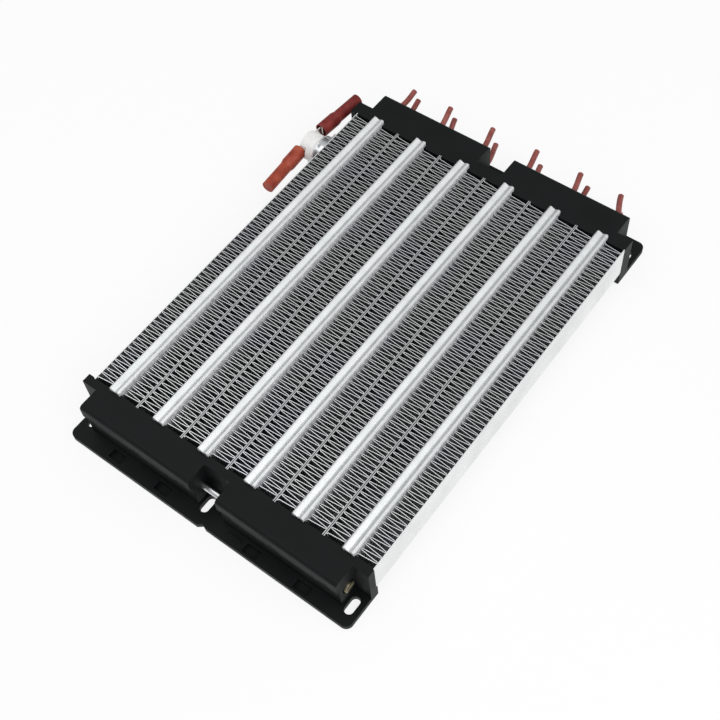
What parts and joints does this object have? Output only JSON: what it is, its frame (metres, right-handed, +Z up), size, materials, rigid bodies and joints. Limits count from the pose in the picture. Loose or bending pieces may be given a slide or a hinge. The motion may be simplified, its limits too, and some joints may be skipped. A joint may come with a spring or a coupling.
{
  "type": "ptc air heater element",
  "caption": "Flat electric air heater: aluminium tubes with folded fins between two black slotted end frames, short red leads at one end and a thermal cut-out on one side.",
  "frame": {"origin": "on the mounting plane, midway between the middle slots of the two end frames", "axes": "+Y along the tubes from the front frame to the frame with the leads, +X across the tubes away from the thermal cut-out, +Z up out of the mounting plane, along the air flow"},
  "size_m": [0.2005, 0.2887, 0.0326],
  "materials": {
    "frame_plastic": "satin black moulded plastic",
    "tube_aluminium": "satin extruded",
    "fin_aluminium": "bright thin sheet",
    "plate_aluminium": "satin sheet",
    "chip_ceramic": "matt grey, metallised faces",
    "electrode_aluminium": "plain strip",
    "film": "amber insulating film",
    "silicone": "satin brick-red silicone",
    "copper": "stranded copper",
    "steel": "bright drawn",
    "screw_brass": "satin pale brass",
    "cap_steel": "bright pressed",
    "bracket_steel": "bright pressed",
    "rivet_aluminium": "bright",
    "white_ceramic": "matt white",
    "tinned_brass": "tin-plated"
  },
  "bodies": {
    "root": {"heater_tube_1": "tube_aluminium", "ptc_chips_1": "chip_ceramic", "electrode_pair_1": "electrode_aluminium", "fin_strip_1_left": "fin_aluminium", "backing_plate_1_left": "plate_aluminium", "fin_strip_1_right": "fin_aluminium", "backing_plate_1_right": "plate_aluminium", "heater_tube_2": "tube_aluminium", "ptc_chips_2": "chip_ceramic", "electrode_pair_2": "electrode_aluminium", "fin_strip_2_left": "fin_aluminium", "backing_plate_2_left": "plate_aluminium", "fin_strip_2_right": "fin_aluminium", "backing_plate_2_right": "plate_aluminium", "heater_tube_3": "tube_aluminium", "ptc_chips_3": "chip_ceramic", "electrode_pair_3": "electrode_aluminium", "fin_strip_3_left": "fin_aluminium", "backing_plate_3_left": "plate_aluminium", "fin_strip_3_right": "fin_aluminium", "backing_plate_3_right": "plate_aluminium", "heater_tube_4": "tube_aluminium", "ptc_chips_4": "chip_ceramic", "electrode_pair_4": "electrode_aluminium", "fin_strip_4_left": "fin_aluminium", "backing_plate_4_left": "plate_aluminium", "fin_strip_4_right": "fin_aluminium", "backing_plate_4_right": "plate_aluminium", "heater_tube_5": "tube_aluminium", "ptc_chips_5": "chip_ceramic", "electrode_pair_5": "electrode_aluminium", "fin_strip_5_left": "fin_aluminium", "backing_plate_5_left": "plate_aluminium", "fin_strip_5_right": "fin_aluminium", "backing_plate_5_right": "plate_aluminium", "heater_tube_6": "tube_aluminium", "ptc_chips_6": "chip_ceramic", "electrode_pair_6": "electrode_aluminium", "fin_strip_6_left": "fin_aluminium", "backing_plate_6_left": "plate_aluminium", "fin_strip_6_right": "fin_aluminium", "backing_plate_6_right": "plate_aluminium", "insulating_films": "film", "front_frame": "frame_plastic", "rear_frame": "frame_plastic", "tie_rod": "steel", "tie_rod_screws": "screw_brass", "lead_conductors": "copper", "upper_lead_sleeves": "silicone", "lower_lead_sleeves": "silicone", "cutout_cap": "cap_steel", "cutout_bracket": "bracket_steel", "bracket_rivets": "rivet_aluminium", "cutout_body": "white_ceramic", "cutout_blades": "tinned_brass", "terminal_receptacles": "tinned_brass", "terminal_sleeves": "silicone"}
  },
  "joints": []
}
